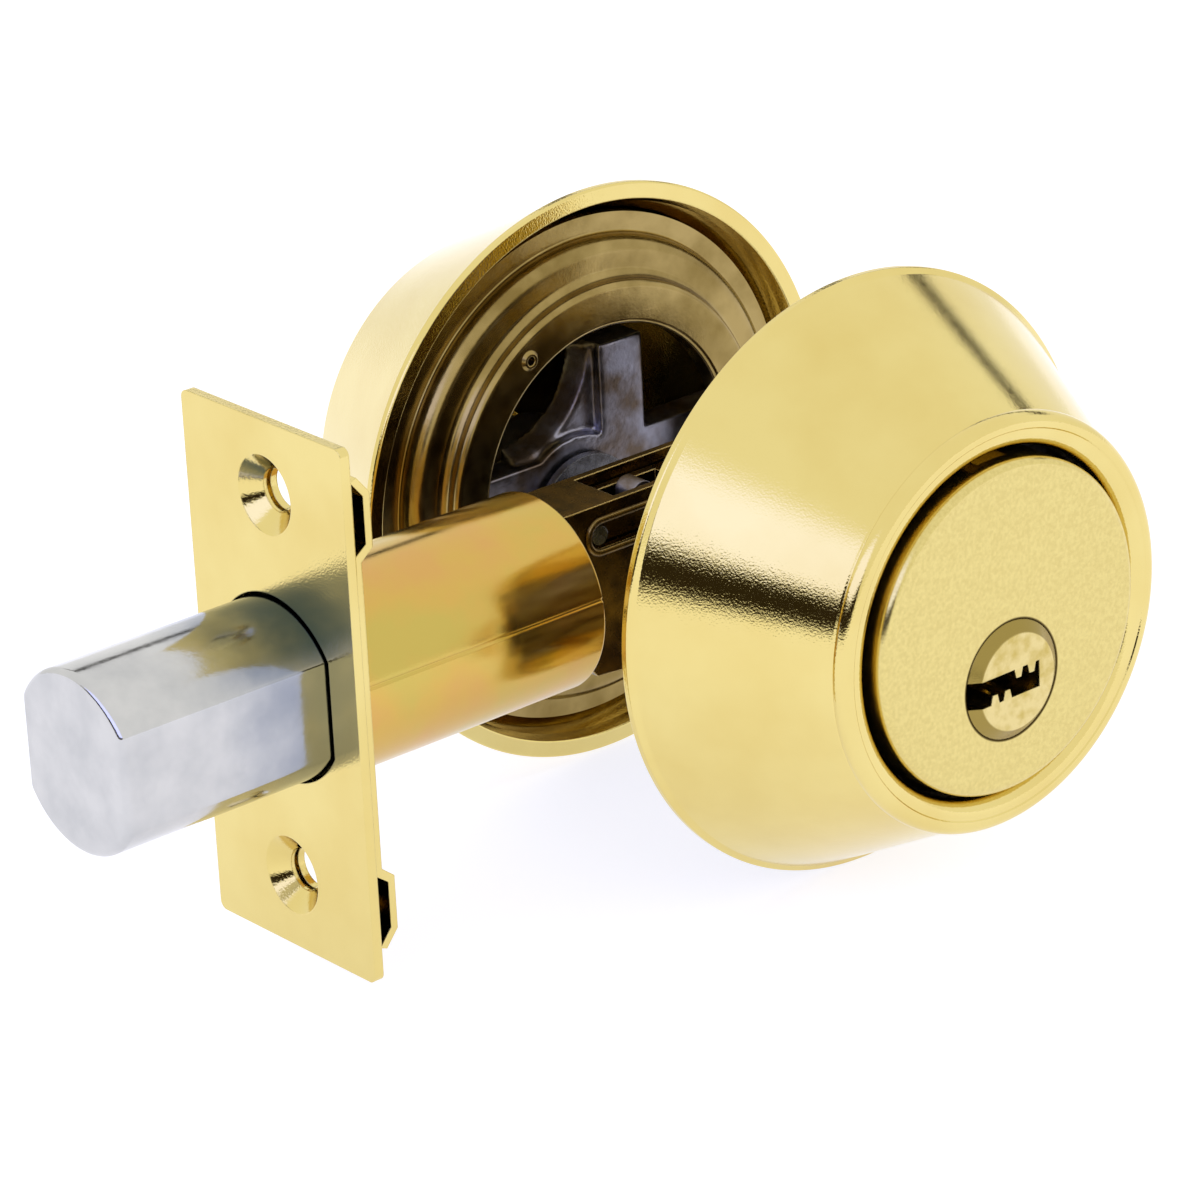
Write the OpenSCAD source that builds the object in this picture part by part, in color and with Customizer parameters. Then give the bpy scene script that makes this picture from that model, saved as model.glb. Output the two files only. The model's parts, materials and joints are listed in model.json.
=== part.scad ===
// Tubular deadbolt for a door: outside key cylinder in a tapered collar, inside rose with a
// thumbturn, and between them a barrel latch with a 25 mm square-sided bolt, shown thrown.
// Millimetres, +Z up, +Y towards the inside of the room, the bolt throws towards -X.
// Origin: where the bolt's axis meets the axis of the cross bore, midway between the door's faces.

/* [Door] */
// thickness of the door the trims clamp
door_t = 40; // [32:1:50]
// faceplate's front to the axis of the cross bore
backset = 60; // [57:0.5:70]

/* [Bolt] */
// travel of the bolt from thrown to drawn
throw_len = 25; // [20:0.5:26]
// diameter of the rounded top and bottom of the bolt
bolt_d = 19.3; // [17:0.1:21]
// width between the bolt's flat sides
bolt_w = 16.4; // [13:0.1:17]
// chamfer round the bolt's nose
bolt_nose = 0.7; // [0.3:0.1:1.5]
// diameter of the hardened roller in the bolt
roller_d = 5; // [4:0.1:6]
// length of the roller
roller_l = 12; // [8:1:14]
// gap between the bolt and what guides it
bolt_gap = 0.35; // [0.3:0.05:0.6]

/* [Faceplate and backplate] */
// height of the faceplate
plate_l = 57.15; // [52:0.05:64]
// width of the faceplate
plate_w = 25.4; // [23:0.1:28]
// thickness of the faceplate
plate_t = 1.1; // [0.9:0.1:2]
// from each end of the faceplate to its screw hole
screw_edge = 7.925; // [7:0.025:10]
// diameter of the countersink at the plate's front
sink_d = 8.4; // [7.6:0.1:9.4]
// diameter of the screw holes
screw_hole_d = 4.6; // [4:0.1:5.2]
// thickness of the backplate
back_t = 0.8; // [0.6:0.1:1.2]
// from each end of the faceplate to the end of the backplate
back_edge = 3.6; // [1:0.1:5]
// how far the pockets step back
pocket_depth = 1.5; // [1.3:0.1:2]
// height of the flat floor of each pocket
pocket_h = 5; // [4.8:0.1:5.6]

/* [Barrel and case] */
// wall of the barrel
barrel_wall = 0.7; // [0.5:0.05:1]
// end of the barrel to the axis of the cross bore
barrel_stop = 26; // [24:0.5:28]
// width of the mechanism case
case_w = 8; // [7.4:0.1:9]
// thickness of the case's sheet
case_t = 0.9; // [0.7:0.1:1.1]
// play of the case's top corners in the barrel
case_play = 0.15; // [0.1:0.05:0.5]
// bottom edge of the case below the hub's axis
case_drop = 5.5; // [5.2:0.1:7]
// rise of the case's bottom edge towards the barrel
case_rise = 1.2; // [0:0.1:2]
// length of the bridge across the top of the case
bridge_l = 9; // [5:0.5:9]
// diameter of the rivets that space the case's sides
rivet_d = 3; // [2.5:0.1:3.2]

/* [Cam and tail] */
// width of the cam's arm
arm_w = 3; // [2.4:0.1:3.2]
// thickness of the cam's arm
arm_t = 2.8; // [2.2:0.1:2.9]
// diameter of the hub's journals in the case
hub_d = 8.4; // [8:0.1:9]
// radial running clearance of every journal
run_gap = 0.06; // [0.03:0.01:0.09]
// gap between parts that pass each other without touching
free_gap = 0.35; // [0.32:0.01:0.4]
// extra room on each side of the arm in the tail's window
window_play = 0.2; // [0.1:0.1:1]
// diameter of the tail's guide pin
guide_d = 2.1; // [1.8:0.1:2.4]
// height of the guide slot's centre line
guide_z = 5.5; // [5.3:0.1:5.8]
// width of the tailpiece blade
blade_w = 5.6; // [5:0.1:5.7]
// thickness of the tailpiece blade
blade_t = 1.5; // [1.2:0.1:1.6]

/* [Outside trim] */
// diameter of both trims at the door
rim_d = 64.5; // [60:0.5:70]
// how far the trims stand off the door
trim_h = 21.6; // [20:0.2:24]
// diameter of the trims' small end
small_d = 44.4; // [42:0.2:48]
// sheet thickness of the trims
trim_t = 1.5; // [1.2:0.1:2]
// radius of the collar's rounded lip
lip_r = 1.9; // [1.6:0.1:2.2]
// gap between the collar's lip and the cylinder's face
face_gap = 0.7; // [0.4:0.1:1]
// rounding of the face's edge
face_r = 0.9; // [0.5:0.1:1.2]
// how far the face stands proud of the collar's lip
face_proud = 1; // [0.5:0.1:1.5]
// step from the face's edge in to the cylinder's body
body_step = 2.4; // [1.5:0.1:3]

/* [Key plug] */
// the plug's axis below the cylinder face's centre
plug_drop = 5.5; // [5.3:0.1:5.8]
// diameter of the plug
plug_d = 12.7; // [12:0.1:13]
// chamfer width round the plug's face
plug_rim = 1.2; // [0.6:0.1:1.4]
// how far the plug stands proud of the face
plug_proud = 0.9; // [0.5:0.1:1.2]
// thickness of the keyway
key_t = 2.9; // [2.2:0.1:3]
// reach of the keyway past the plug's axis
key_reach = 3.1; // [2.6:0.1:3.4]
// depth of the keyway's guide ribs
rib_h = 1; // [0.7:0.1:1.2]
// diameter of the pin bores
pin_bore_d = 3; // [2.6:0.1:3.2]
// spacing of the pins
pin_pitch = 3.8; // [3.6:0.05:3.9]
// length of the driver pins
driver_l = 4; // [3.6:0.1:4.4]

/* [Inside trim] */
// width of the recess between the rose's rim and the mounting plate
recess_w = 3.7; // [3:0.1:5]
// width of the mounting plate's outer step
step_w = 4.4; // [3:0.1:6]
// width of the mounting plate's inner step
ring_w = 4.8; // [4:0.1:6]
// sheet thickness of the mounting plate
mplate_t = 1.2; // [1:0.1:1.5]
// diameter of the trim screw holes in the mounting plate
trim_hole_d = 4.4; // [4.2:0.1:4.6]
// depth of the mounting plate's flange past the door's face
flange_y = 2.6; // [1.6:0.1:4]
// outer diameter of the raised dimple in the mounting plate
nib_d = 2.3; // [2:0.1:3]
// diameter of the hole in the dimple
nib_hole_d = 0.9; // [0.7:0.1:1.1]
// how far the dimple stands out
nib_rise = 0.35; // [0.2:0.05:0.5]
// diameter of the tapped holes in the cylinder's lugs
tap_d = 3.4; // [3:0.1:3.8]
// width of the bearing casting's post
post_w = 6.2; // [5:0.1:7]
// radius of the hollow between the casting's bar and post
web_r = 11.4; // [9:0.1:12]
// how far the web lies behind the post's front
web_set = 1.4; // [0.6:0.1:2.2]
// height of the thumbturn's grip above its base
grip_h = 11; // [9:0.5:12]
// thickness of the thumbturn's grip
grip_t = 8; // [6:0.5:9]
// diameter of the thumbturn's shank
shank_d = 14.4; // [13:0.2:15]

/* [Hidden] */
$fn = 96;
half = door_t / 2;
turn_deg = 90;
px = -backset;
plate_back = px + plate_t;
back_rear = plate_back + back_t;
bolt_face = px - throw_len;
barrel_x1 = -barrel_stop;
barrel_in = bolt_d / 2 + bolt_gap;
barrel_r = barrel_in + barrel_wall;
screw_gap = plate_l - 2 * screw_edge;
back_l = plate_l - 2 * back_edge;
bolt_rear = barrel_x1 - barrel_wall - 0.3 - 0.35 - throw_len;
bolt_len = bolt_rear - bolt_face;
case_x0 = barrel_x1 - barrel_wall - 0.3;
case_in = case_w / 2 - case_t;
tail_half = case_in - free_gap;
nom = -throw_len / 2;
strip_in = arm_t / 2 + free_gap;
case_top = sqrt(pow(barrel_in, 2) - pow(case_w / 2 + 0.05, 2)) - case_play;
tail_top = case_top - case_t - free_gap;
arm_l = throw_len / 2 / sin(turn_deg / 2);
hub_r = hub_d / 2;
case_low = plug_drop + case_drop;
case_nose = case_low - case_rise;
case_neck = min(case_nose - 3, case_top);
arm_side = (arm_w / 2 + free_gap) / cos(turn_deg / 2);
level_a = throw_len / 2 - 1.6;
level_b = level_a - 2;
window_half = window_play + arm_side
  + max(tail_top + plug_drop - throw_len / 2, throw_len / 2 - level_a);
window_b = window_play + arm_side + throw_len / 2 - level_b;
window_c = window_b + 4;
tail_end = window_half + 3;
case_rear = throw_len / 2 + tail_end + 5;
collar_r = hub_r + 0.3;
tail_low = -plug_drop + collar_r + free_gap + 0.05;
guide_x = nom - 8.1;
blade_z = blade_w / 2 + 0.4;
blade_x = blade_t / 2 + 0.4;
rim_r = rim_d / 2;
small_r = small_d / 2;
top_d = half + trim_h;
lip_c = small_r - lip_r + 0.1;
face_d = 2 * (lip_c - lip_r - face_gap);
body_d = face_d - 2 * body_step;
step_r = rim_r - 0.65 - trim_t * 1.13 - recess_w;
ridge_r = step_r - step_w;
open_r = ridge_r - ring_w;
trim_pcd = ridge_r + open_r;
cone_k = (rim_r - 0.65 - (small_r - 0.2)) / (trim_h - 1.3 - 1.3 - 1.0);
dimple_h = plate_t + 1;
dimple_r = screw_hole_d / 2 + 0.4;
face_y = top_d + face_proud;
body_back = half - 3;
plug_face = face_y + plug_proud;
plug_r = plug_d / 2;
pin_r = pin_bore_d / 2 - 0.05;
pin_first = face_y - 4.1;
shear_r = plug_r + run_gap;
chamber_top = body_d / 2 - 3.8;
clip_r = shear_r + 0.2;
trim_ang = 225;
nib_ang = 123;
bearing_y = half + 4;
boss_end = half + 14.4;
shank_r = shank_d / 2;

// inner radius of both tapered trims at a depth past the door's face
function cone_in(d) = rim_r - 0.65 - trim_t * 1.13 - (d - 1.3) * cone_k;

// turns a shape drawn upwards so that it points outside, towards -Y
module outside() {
  rotate([90, 0, 0]) children();
}

// turns a shape drawn upwards so that it points inside, towards +Y
module inside() {
  rotate([-90, 0, 0]) children();
}

// a rod along X from x0 to x1
module rod_x(x0, x1, r, y = 0, z = 0) {
  translate([x0, y, z]) rotate([0, 90, 0]) cylinder(h = x1 - x0, r = r);
}

// a rod along Y from y0 to y1
module rod_y(y0, y1, r, x = 0, z = 0) {
  translate([x, y1, z]) rotate([90, 0, 0]) cylinder(h = y1 - y0, r = r);
}

// a box between two corners
module span(a, b) {
  translate(a) cube([b[0] - a[0], b[1] - a[1], b[2] - a[2]]);
}

// ---------- outside trim ----------

module outer_collar() {
  color("gold") outside() rotate_extrude() union() {
    polygon([[rim_r - 0.65 - trim_t * 1.13 + 0.5, half], [rim_r, half], [rim_r, half + 0.9],
      [rim_r - 0.65, half + 1.3], [small_r - 0.2, top_d - 1.3], [lip_c, top_d - lip_r],
      [small_r - 0.2 - trim_t * 1.13, top_d - 1.3 - 1.0], [rim_r - 0.65 - trim_t * 1.13, half + 1.3]]);
    translate([lip_c, top_d - lip_r]) circle(r = lip_r);
  }
}

module centring_ring() {
  color("silver") outside() rotate_extrude()
    polygon([[body_d / 2 + 0.05, half + 10.4], [cone_in(10.4) - 0.1, half + 10.4],
      [cone_in(12.4) - 0.1, half + 12.4], [body_d / 2 + 0.05, half + 12.4]]);
}

module cylinder_housing() {
  color("goldenrod") difference() {
    union() {
      outside() rotate_extrude() union() {
        polygon([[0, face_y - 9], [face_d / 2, face_y - 9], [face_d / 2, face_y - face_r],
          [face_d / 2 - face_r, face_y - face_r], [face_d / 2 - face_r, face_y], [0, face_y]]);
        translate([face_d / 2 - face_r, face_y - face_r]) circle(r = face_r);
      }
      rod_y(-(face_y - 8), -body_back, body_d / 2);
      for (s = [0, 90]) rotate([0, -(trim_ang + s), 0]) {
        rod_y(-(half + 10), -half, 3.6, trim_pcd / 2, 0);
        span([body_d / 2 - 3, -(half + 10), -3.6], [trim_pcd / 2, -half, 3.6]);
      }
    }
    rod_y(-(face_y + 1), -(body_back - 1), shear_r, 0, -plug_drop);
    for (s = [0, 90]) rotate([0, -(trim_ang + s), 0])
      rod_y(-(half + 9), -(half - 1), tap_d / 2, trim_pcd / 2, 0);
    for (i = [0:4]) translate([0, -(pin_first - i * pin_pitch), -plug_drop])
      cylinder(h = chamber_top + plug_drop + 0.1, r = pin_bore_d / 2);
    span([-2, -(pin_first + 1.9), chamber_top], [2, -(pin_first - 4 * pin_pitch - 1.9), face_d]);
  }
}

module chamber_cover() {
  color("goldenrod")
    span([-1.95, -(pin_first + 1.85), chamber_top], [1.95, -(pin_first - 4 * pin_pitch - 1.85), chamber_top + 1.3]);
}

module keyway_shape() {
  polygon([[-plug_r - 1, -key_t / 2], [-3.75, -key_t / 2], [-3.5, -key_t / 2 + rib_h],
    [-2.85, -key_t / 2 + rib_h], [-2.6, -key_t / 2], [-2.0, -key_t / 2], [-1.75, -key_t / 2 + rib_h],
    [-1.1, -key_t / 2 + rib_h], [-0.85, -key_t / 2], [key_reach, -key_t / 2], [key_reach, key_t / 2],
    [2.6, key_t / 2], [2.35, key_t / 2 - rib_h], [1.7, key_t / 2 - rib_h], [1.45, key_t / 2],
    [0.75, key_t / 2], [0.5, key_t / 2 - rib_h], [-0.15, key_t / 2 - rib_h], [-0.4, key_t / 2],
    [-plug_r - 1, key_t / 2]]);
}

module key_plug() {
  color("khaki") difference() {
    translate([0, 0, -plug_drop]) outside() rotate_extrude()
      polygon([[0, body_back - 5], [4, body_back - 5], [4, body_back - 1.5], [3.6, body_back - 1.5],
        [3.6, body_back - 0.3], [4, body_back - 0.3], [4, body_back + 0.2], [plug_r, body_back + 0.2],
        [plug_r, plug_face - plug_proud], [plug_r - plug_rim, plug_face], [0, plug_face]]);
    translate([0, -(plug_face - 23), -plug_drop]) outside() linear_extrude(height = 24) keyway_shape();
    for (i = [0:4]) translate([0, -(pin_first - i * pin_pitch), -plug_drop + 0.3])
      cylinder(h = plug_r + 0.65, r = pin_bore_d / 2);
    span([-blade_t / 2 - 0.05, -(body_back + 2), -plug_drop - blade_w / 2 - 0.05],
      [blade_t / 2 + 0.05, -(body_back - 6), -plug_drop + blade_w / 2 + 0.05]);
  }
}

module key_pins() {
  color("peru") for (i = [0:4]) translate([0, -(pin_first - i * pin_pitch), -plug_drop]) {
    translate([0, 0, 1.6]) cylinder(h = plug_r - 0.25 - 1.6, r = pin_r);
    translate([0, 0, 0.5]) cylinder(h = 1.1, r1 = 0.5, r2 = pin_r);
  }
}

module driver_pin(i) {
  color("peru") translate([0, -(pin_first - i * pin_pitch), -plug_drop + plug_r + 0.3])
    cylinder(h = driver_l, r = pin_r);
}

module driver_spring(i) {
  z0 = -plug_drop + plug_r + 0.3 + driver_l;
  n = 6;
  step = (chamber_top - z0) / (2 * n);
  color("silver") translate([0, -(pin_first - i * pin_pitch), z0]) rotate_extrude()
    polygon(concat(
      [for (k = [0:2 * n]) [(k % 2 == 0) ? 1.0 : 1.3, k * step]],
      [for (k = [2 * n:-1:0]) [(k % 2 == 0) ? 0.7 : 1.0, k * step]]));
}

module plug_clip() {
  color("silver") translate([0, 0, -plug_drop]) difference() {
    rod_y(-(body_back - 0.4), -(body_back - 1.4), clip_r);
    rod_y(-(body_back + 1), -(body_back - 3), 3.65);
    span([-2, -(body_back + 1), -9], [2, -(body_back - 3), -2]);
  }
}

module tailpiece() {
  color("silver")
    span([-blade_t / 2, -(body_back + 1.9), -plug_drop - blade_w / 2],
      [blade_t / 2, half + 13, -plug_drop + blade_w / 2]);
}

// ---------- latch ----------

// the bolt's outline, grown by g, as a bar along X
module bolt_bar(x0, x1, g) {
  intersection() {
    rod_x(x0, x1, bolt_d / 2 + g);
    span([x0 - 1, -bolt_w / 2 - g, -bolt_d], [x1 + 1, bolt_w / 2 + g, bolt_d]);
  }
}

// a rounded rectangle in the YZ plane, from x0 to x1
module round_plate(x0, x1, w, l, r) {
  span([x0, -w / 2 + r, -l / 2], [x1, w / 2 - r, l / 2]);
  span([x0, -w / 2, -l / 2 + r], [x1, w / 2, l / 2 - r]);
  for (y = [-1, 1]) for (z = [-1, 1]) rod_x(x0, x1, r, y * (w / 2 - r), z * (l / 2 - r));
}

module faceplate() {
  color("gold") difference() {
    union() {
      round_plate(px, plate_back, plate_w, plate_l, 0.9);
      for (s = [-1, 1]) translate([px, 0, s * screw_gap / 2]) rotate([0, 90, 0])
        cylinder(h = dimple_h, r1 = sink_d / 2 + 0.08, r2 = dimple_r);
    }
    for (s = [-1, 1]) translate([px, 0, s * screw_gap / 2]) rotate([0, 90, 0]) {
      translate([0, 0, -0.01]) cylinder(h = 1.71, r1 = sink_d / 2, r2 = screw_hole_d / 2);
      translate([0, 0, -1]) cylinder(h = 5, r = screw_hole_d / 2);
    }
    bolt_bar(px - 1, plate_back + 1, bolt_gap);
  }
}

module backplate() {
  zs = screw_gap / 2 - sink_d / 2 + 0.6;
  zi = screw_gap / 2 - pocket_h / 2;
  zo = screw_gap / 2 + pocket_h / 2;
  color("gold") difference() {
    translate([0, (plate_w - 0.4) / 2, 0]) rotate([90, 0, 0]) linear_extrude(height = plate_w - 0.4) {
      polygon([[plate_back, -zs], [plate_back, zs], [plate_back + pocket_depth, zi],
        [plate_back + pocket_depth, zo], [plate_back, back_l / 2], [plate_back + back_t, back_l / 2 + 0.3],
        [back_rear + pocket_depth, zo + 0.3], [back_rear + pocket_depth, zi - 0.5], [back_rear, zs - 0.6],
        [back_rear, -zs + 0.6], [back_rear + pocket_depth, -zi + 0.5], [back_rear + pocket_depth, -zo - 0.3],
        [plate_back + back_t, -back_l / 2 - 0.3], [plate_back, -back_l / 2], [plate_back + pocket_depth, -zo],
        [plate_back + pocket_depth, -zi]]);
    }
    for (s = [-1, 1]) rod_x(plate_back - 1, back_rear + 4, screw_hole_d / 2, 0, s * screw_gap / 2);
    bolt_bar(plate_back - 1, back_rear + 1, bolt_gap);
  }
}

module barrel() {
  color("darkkhaki") difference() {
    rod_x(back_rear, barrel_x1, barrel_r);
    rod_x(back_rear - 1, case_x0, barrel_in);
    span([case_x0 - 1, -case_w / 2 - 0.05, -case_neck - 0.05], [barrel_x1 + 1, case_w / 2 + 0.05, case_top + 0.05]);
  }
}

// one side of the case, drawn from y0 to y1
module case_side(y0, y1) {
  translate([0, y1, 0]) rotate([90, 0, 0]) linear_extrude(height = y1 - y0)
    polygon([[case_x0, -case_neck], [barrel_x1 + 1.5, -case_neck], [barrel_x1 + 4, -case_nose],
      [-hub_d, -case_low], [case_rear - 3, -case_low], [case_rear, -case_low + 3], [case_rear, case_top - 3],
      [case_rear - 3, case_top], [case_x0, case_top]]);
}

module guide_slot() {
  r = guide_d / 2 + 0.3;
  rod_y(-9, 9, r, guide_x, guide_z);
  rod_y(-9, 9, r, guide_x + throw_len, guide_z);
  span([guide_x, -9, guide_z - r], [guide_x + throw_len, 9, guide_z + r]);
}

module rivet_spots() {
  for (p = [[-15, -case_nose + 2.6], [15.5, -case_low + 3], [case_rear - 2.5, 4]])
    translate([p[0], 0, p[1]]) children();
}

module latch_case() {
  color("olive") difference() {
    union() {
      case_side(-case_w / 2, -case_in);
      case_side(case_in, case_w / 2);
      span([case_x0, -case_w / 2, case_top - case_t], [case_x0 + bridge_l, case_w / 2, case_top]);
    }
    rod_y(-9, 9, hub_r + run_gap, 0, -plug_drop);
    guide_slot();
    rivet_spots() rod_y(-9, 9, rivet_d / 2 - 0.45);
  }
}

module case_rivets() {
  color("silver") rivet_spots() {
    rod_y(-case_w / 2 - 0.7, case_w / 2 + 0.7, rivet_d / 2 - 0.5);
    rod_y(-case_in + 0.02, case_in - 0.02, rivet_d / 2);
    rod_y(-case_w / 2 - 0.7, -case_w / 2 - 0.02, rivet_d / 2 + 0.5);
    rod_y(case_w / 2 + 0.02, case_w / 2 + 0.7, rivet_d / 2 + 0.5);
  }
}

module bolt() {
  color("lightgray") difference() {
    intersection() {
      rotate([0, 90, 0]) translate([0, 0, bolt_face]) rotate_extrude()
        polygon([[0, 0], [bolt_d / 2 - bolt_nose, 0], [bolt_d / 2, bolt_nose], [bolt_d / 2, bolt_len], [0, bolt_len]]);
      translate([0, 0, -bolt_d]) linear_extrude(height = 2 * bolt_d)
        polygon([[bolt_face, -bolt_w / 2 + bolt_nose], [bolt_face + bolt_nose, -bolt_w / 2], [bolt_rear, -bolt_w / 2],
          [bolt_rear, bolt_w / 2], [bolt_face + bolt_nose, bolt_w / 2], [bolt_face, bolt_w / 2 - bolt_nose]]);
    }
    rod_x(bolt_rear - 8.2 - roller_l - 0.4, bolt_rear + 1, roller_d / 2 + 0.1);
    span([bolt_rear - 8.2, -tail_half - 0.05, -3.05], [bolt_rear + 1, tail_half + 0.05, 5.05]);
    rod_y(-10, 10, 1.55, bolt_rear - 4, 2.8);
  }
}

module saw_roller() {
  color("dimgray") rod_x(bolt_rear - 8.2 - roller_l - 0.2, bolt_rear - 8.4, roller_d / 2);
}

module bolt_tail() {
  color("slategray") difference() {
    translate([0, tail_half, 0]) rotate([90, 0, 0]) linear_extrude(height = 2 * tail_half)
      polygon([[bolt_rear - 8, -3], [nom - 18, -3], [nom - 18, tail_low], [nom + tail_end, tail_low],
        [nom + tail_end, tail_top], [nom - 18.5, tail_top], [nom - 21.2, 5], [bolt_rear - 8, 5]]);
    span([nom - window_half, -strip_in, level_a - plug_drop], [nom + window_half, strip_in, case_top + 9]);
    span([nom - window_b, -strip_in, level_b - plug_drop], [nom + tail_end + 1, strip_in, level_a - plug_drop]);
    span([nom - window_c, -strip_in, -9], [nom + tail_end + 1, strip_in, level_b - plug_drop + 0.1]);
    rod_y(-9, 9, guide_d / 2 + 0.03, guide_x, guide_z);
    rod_y(-9, 9, 1.55, bolt_rear - 4, 2.8);
  }
}

module tail_rivet() {
  color("silver") rod_y(-bolt_w / 2 + 0.1, bolt_w / 2 - 0.1, 1.5, bolt_rear - 4, 2.8);
}

module guide_pin() {
  color("silver") rod_y(-case_w / 2 + 0.2, case_w / 2 - 0.2, guide_d / 2, guide_x, guide_z);
}

module cam() {
  color("gray") difference() {
    union() {
      rod_y(-case_w / 2 - 0.6, case_w / 2 + 0.6, hub_r, 0, -plug_drop);
      rod_y(-tail_half, tail_half, collar_r, 0, -plug_drop);
      translate([0, 0, -plug_drop]) rotate([0, -45, 0]) {
        span([-arm_w / 2, -arm_t / 2, 0], [arm_w / 2, arm_t / 2, arm_l]);
        rod_y(-arm_t / 2, arm_t / 2, arm_w / 2, 0, arm_l);
      }
    }
    span([-blade_x, -9, -plug_drop - blade_z], [blade_x, 9, -plug_drop + blade_z]);
  }
}

// ---------- inside trim ----------

module inner_rose() {
  color("gold") difference() {
    inside() rotate_extrude() union() {
      polygon([[rim_r - 0.65 - trim_t * 1.13 + 0.5, half], [rim_r, half], [rim_r, half + 0.9],
        [rim_r - 0.65, half + 1.3], [small_r - 0.2, top_d - 1.3], [small_r - 1.7, top_d], [0, top_d],
        [0, top_d - trim_t], [small_r - 2.4, top_d - trim_t], [rim_r - 0.65 - trim_t * 1.13, half + 1.3]]);
    }
    rod_y(top_d - 5, top_d + 1, shank_r + 0.4, 0, -plug_drop);
  }
}

module mounting_plate() {
  o = step_r;
  r = ridge_r;
  i = open_r;
  t = mplate_t;
  f = half - 1.6;
  k = half + 0.4;
  e = half + (rim_r - 0.65 - trim_t * 1.13 + 1.3 * cone_k - o - 0.15) / cone_k;
  g = half + flange_y;
  w = cone_in(flange_y + t) - 0.15;
  color("darkolivegreen") difference() {
    union() {
      inside() rotate_extrude()
        polygon([[i, f], [r, f], [r, k], [o, k], [o, g], [w, g], [w, g + t], [o, g + t], [o, e], [o - t, e],
          [o - t, k + t], [r - t, k + t], [r - t, f + t], [i + t, f + t], [i + t, f + 3], [i, f + 3]]);
      rotate([0, -nib_ang, 0]) rod_y(f - nib_rise, f + t / 2, nib_d / 2, trim_pcd / 2, 0);
    }
    rotate([0, -nib_ang, 0]) rod_y(f - 1, f + 6, nib_hole_d / 2, trim_pcd / 2, 0);
    for (s = [0, 90]) rotate([0, -(trim_ang + s), 0])
      rod_y(f - 1, f + 6, trim_hole_d / 2, trim_pcd / 2, 0);
  }
}

module turn_bearing() {
  w = step_r - mplate_t - 0.1;
  color("dimgray") difference() {
    union() {
      intersection() {
        span([-w, bearing_y, -plug_drop - 4.5], [w, bearing_y + 4, -plug_drop + 7]);
        rod_y(bearing_y - 1, bearing_y + 9, w);
      }
      rod_y(bearing_y, boss_end, 8.6, 0, -plug_drop);
      span([3.7, bearing_y, 0], [3.7 + post_w, bearing_y + 4, 12.6]);
      difference() {
        span([3.8 - web_r, bearing_y + web_set, 0.5], [3.9, bearing_y + 4, 12.3]);
        translate([3.7 - web_r, bearing_y, 7 - plug_drop + web_r]) inside() cylinder(h = 5, r1 = web_r + 0.4, r2 = web_r - 2);
      }
    }
    rod_y(bearing_y - 1, boss_end + 1, hub_r + run_gap, 0, -plug_drop);
  }
}

module thumbturn() {
  color("gold") translate([0, 0, -plug_drop]) difference() {
    union() {
      rod_y(boss_end + 0.5, top_d + 0.6, shank_r);
      rod_y(top_d + 0.4, top_d + 1.9, shank_r + 1.4);
      intersection() {
        rod_x(-grip_t / 2, grip_t / 2, grip_h, top_d + 1.4, 0);
        span([-20, top_d + 1.4, -20], [20, top_d + 40, 20]);
      }
    }
    rod_y(boss_end - 1, top_d - 1, hub_r + 0.02);
  }
}

module turn_spindle() {
  color("gray") translate([0, 0, -plug_drop]) difference() {
    rod_y(bearing_y - 2.4, top_d - 1.1, hub_r);
    span([-blade_x, bearing_y - 3, -blade_z], [blade_x, half + 13.5, blade_z]);
    difference() {
      rod_y(bearing_y - 1.6, bearing_y - 0.4, hub_r + 1);
      rod_y(bearing_y - 2, bearing_y, hub_r - 0.5);
    }
  }
}

module turn_clip() {
  color("silver") translate([0, 0, -plug_drop]) difference() {
    rod_y(bearing_y - 1.5, bearing_y - 0.5, hub_r + 2.6);
    rod_y(bearing_y - 3, bearing_y + 1, hub_r - 0.45);
    span([-2.2, bearing_y - 3, -12], [2.2, bearing_y + 1, -3]);
  }
}

outer_collar();
centring_ring();
cylinder_housing();
chamber_cover();
key_plug();
key_pins();
driver_pin(0);  // driver_pin_1
driver_pin(1);  // driver_pin_2
driver_pin(2);  // driver_pin_3
driver_pin(3);  // driver_pin_4
driver_pin(4);  // driver_pin_5
driver_spring(0);  // driver_spring_1
driver_spring(1);  // driver_spring_2
driver_spring(2);  // driver_spring_3
driver_spring(3);  // driver_spring_4
driver_spring(4);  // driver_spring_5
plug_clip();
tailpiece();
faceplate();
backplate();
barrel();
latch_case();
case_rivets();
bolt();
saw_roller();
bolt_tail();
tail_rivet();
guide_pin();
cam();
inner_rose();
mounting_plate();
turn_bearing();
thumbturn();
turn_spindle();
turn_clip();
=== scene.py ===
"""A tubular deadbolt dressed for the camera: brass trims, a steel latch and what shows inside them."""
import json
import math

import bpy
import numpy as np
from mathutils import Matrix, Vector


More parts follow.
